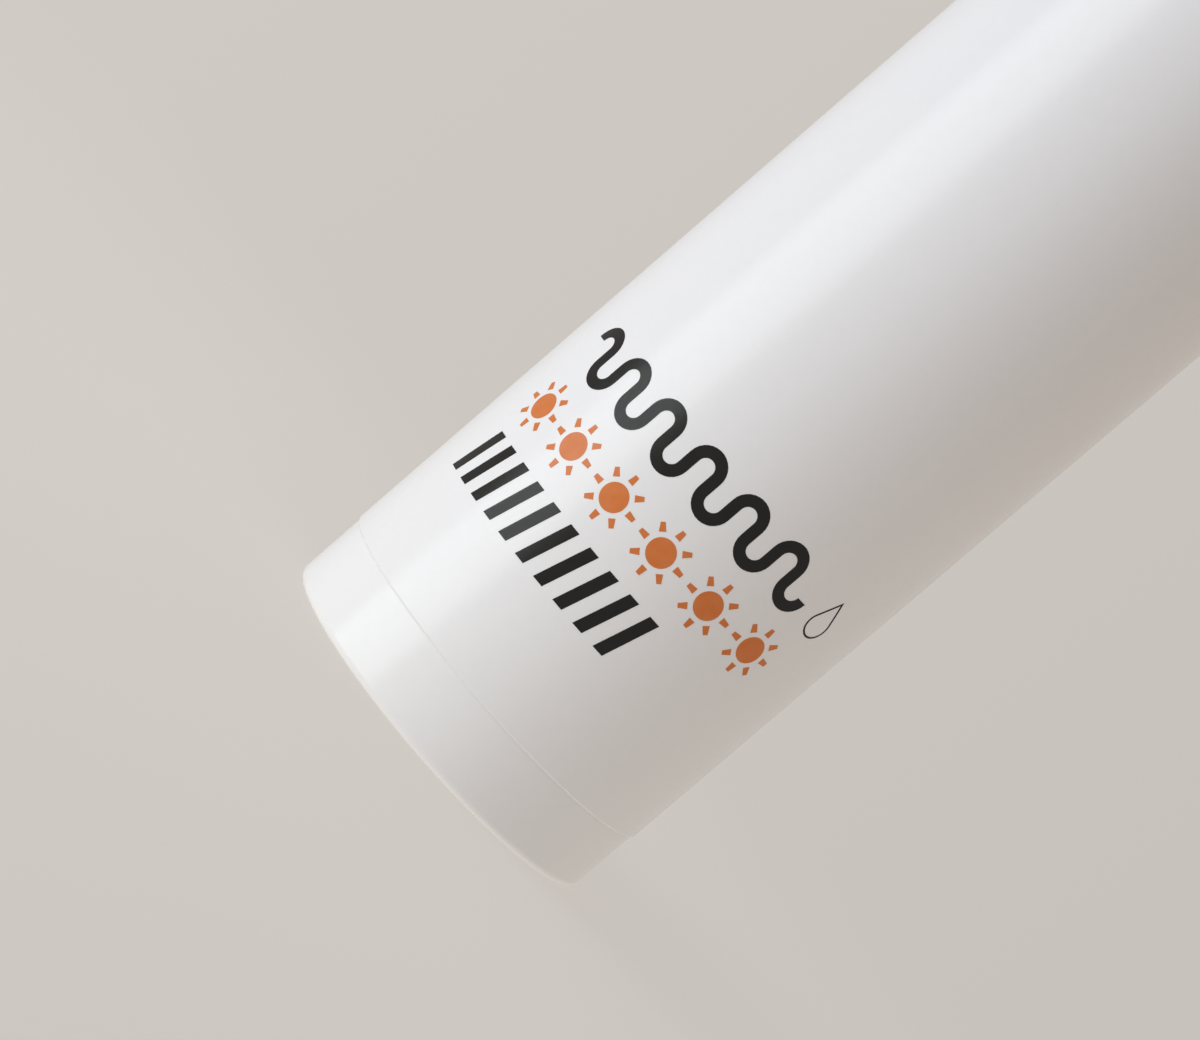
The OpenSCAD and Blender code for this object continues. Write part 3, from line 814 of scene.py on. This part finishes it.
def carve(shape, tool, operation="DIFFERENCE"):
    """Cuts a tool shape out of a shape, or joins it on, and frees both."""
    held = []
    for part in (shape, tool):
        mesh = bpy.data.meshes.new("carving")
        part.to_mesh(mesh)
        part.free()
        held.append(bpy.data.objects.new("carving", mesh))
        bpy.context.scene.collection.objects.link(held[-1])
    change = held[0].modifiers.new("carve", "BOOLEAN")
    change.object = held[1]
    change.operation = operation
    change.solver = "EXACT"
    carved = bmesh.new()
    carved.from_object(held[0], bpy.context.evaluated_depsgraph_get())
    for part in held:
        bpy.data.objects.remove(part)
    return carved


def towards_nozzle(shape):
    """Lays a shape that stands on the bottle's axis down towards the nozzle, at its height."""
    bmesh.ops.rotate(shape, verts=shape.verts[:], matrix=Matrix.Rotation(math.tau / 4, 3, "X"))
    bmesh.ops.translate(shape, verts=shape.verts[:], vec=(0, 0, nozzle_at_mm * mm))
    return shape


dish_line = []
for i in range(dish_rings, -1, -1):
    reach_mm = dish_radius_mm * i / dish_rings
    fall_mm = math.sqrt(dish_ball_mm ** 2 - reach_mm ** 2) - (dish_ball_mm - dish_mm)
    dish_line.append((reach_mm, head_high.z - fall_mm, dish_round_mm if i == dish_rings else 0))
head_shape = turned([
    (head_inside_mm, head_low.z, fine_edge_mm),
    (head_high.x, head_low.z, soft_edge_mm),
    (head_high.x, head_high.z, roof_edge_mm),
    *dish_line,
    (0, nozzle_at_mm, 0),
    (stem_bore_mm, nozzle_at_mm, 0),
    (stem_bore_mm, stem_high.z, 0),
    (hub_bore_mm, stem_high.z, 0),
    (hub_bore_mm, hub_low_mm, soft_edge_mm),
    (hub_mm, hub_low_mm, soft_edge_mm),
    (hub_mm, spring_high.z, 0),
    (seat_mm, spring_high.z, soft_edge_mm),
    (seat_mm, roof_under_mm, root_mm),
    (head_inside_mm, roof_under_mm, roof_root_mm),
])
spout_from_mm = seat_mm - spout_overlap_mm
spout_to_mm = head_high.x - head_wall_mm / 2
spout_shape = towards_nozzle(turned([
    (0, spout_from_mm, 0),
    (nozzle_mm + spout_wall_mm, spout_from_mm, 0),
    (nozzle_mm + spout_wall_mm, spout_to_mm, 0),
    (0, spout_to_mm, 0),
], steps=channel_steps))
channel_to_mm = head_high.x + channel_overrun_mm
channel_shape = towards_nozzle(turned([
    (0, 0, 0),
    (channel_mm, 0, 0),
    (channel_mm, head_high.x - nozzle_depth_mm, 0),
    (nozzle_mm + nozzle_gap_mm, head_high.x - nozzle_depth_mm, 0),
    (nozzle_mm + nozzle_gap_mm, channel_to_mm, 0),
    (0, channel_to_mm, 0),
], steps=channel_steps))
head_shape = carve(carve(head_shape, spout_shape, "UNION"), channel_shape)
place(head_shape, "actuator_moulding", "head", satin_polypropylene, "actuator")

# Nozzle insert
# A small round moulding of polished white acetal, pressed into the actuator's side. It stands a
# little proud, with a rounded mouth.
orifice_mm = 0.75
nozzle_edge_mm = 0.3
mouth_mm = 0.35
nozzle_steps = 96
polished_acetal = moulded_plastic(
    "polished white acetal", "f0f0ee", "ebebe9", smoothest=0.14, roughest=0.2,
    grain_mm=0.4, grain_depth_mm=0.0004, translucency=0.12)
nozzle_shape = towards_nozzle(turned([
    (orifice_mm, -nozzle_high.y, 0),
    (nozzle_mm, -nozzle_high.y, fine_edge_mm),
    (nozzle_mm, -nozzle_low.y, nozzle_edge_mm),
    (orifice_mm, -nozzle_low.y, mouth_mm),
], steps=nozzle_steps))
place(nozzle_shape, "nozzle_insert_moulding", "head", polished_acetal, "nozzle_insert")

# Overcap
# A thin-walled cap of the same satin polypropylene, flush with the tube. Six ribs inside grip the
# collar until it is pulled off.
cap_wall_mm = 2
cap_top_wall_mm = 2
cap_edge_mm = 1.2
cap_root_mm = 0.8
grip_ribs = 6
grip_proud_mm = 0.2
grip_width_mm = 1.2
grip_height_mm = 9
grip_lift_mm = 2
cap_low, cap_high = corners_mm("overcap")
cap_bore_mm = cap_high.x - cap_wall_mm
cap_shape = turned([
    (cap_bore_mm, cap_low.z, fine_edge_mm),
    (cap_high.x, cap_low.z, rim_round_mm),
    (cap_high.x, cap_high.z, cap_edge_mm),
    (0, cap_high.z, 0),
    (0, cap_high.z - cap_top_wall_mm, 0),
    (cap_bore_mm, cap_high.z - cap_top_wall_mm, cap_root_mm),
], steps=tube_steps)
for i in range(grip_ribs):
    grip = bmesh.ops.create_cube(cap_shape, size=1)["verts"]
    bmesh.ops.scale(
        cap_shape, verts=grip,
        vec=Vector((2 * grip_proud_mm, grip_width_mm, grip_height_mm)) * mm)
    bmesh.ops.translate(cap_shape, verts=grip, vec=Vector((
        cap_bore_mm, 0, cap_low.z + grip_lift_mm + grip_height_mm / 2)) * mm)
    bmesh.ops.rotate(
        cap_shape, verts=grip, matrix=Matrix.Rotation(math.tau * (i + 0.5) / grip_ribs, 3, "Z"))
place(cap_shape, "overcap_moulding", "overcap", satin_polypropylene, "overcap")
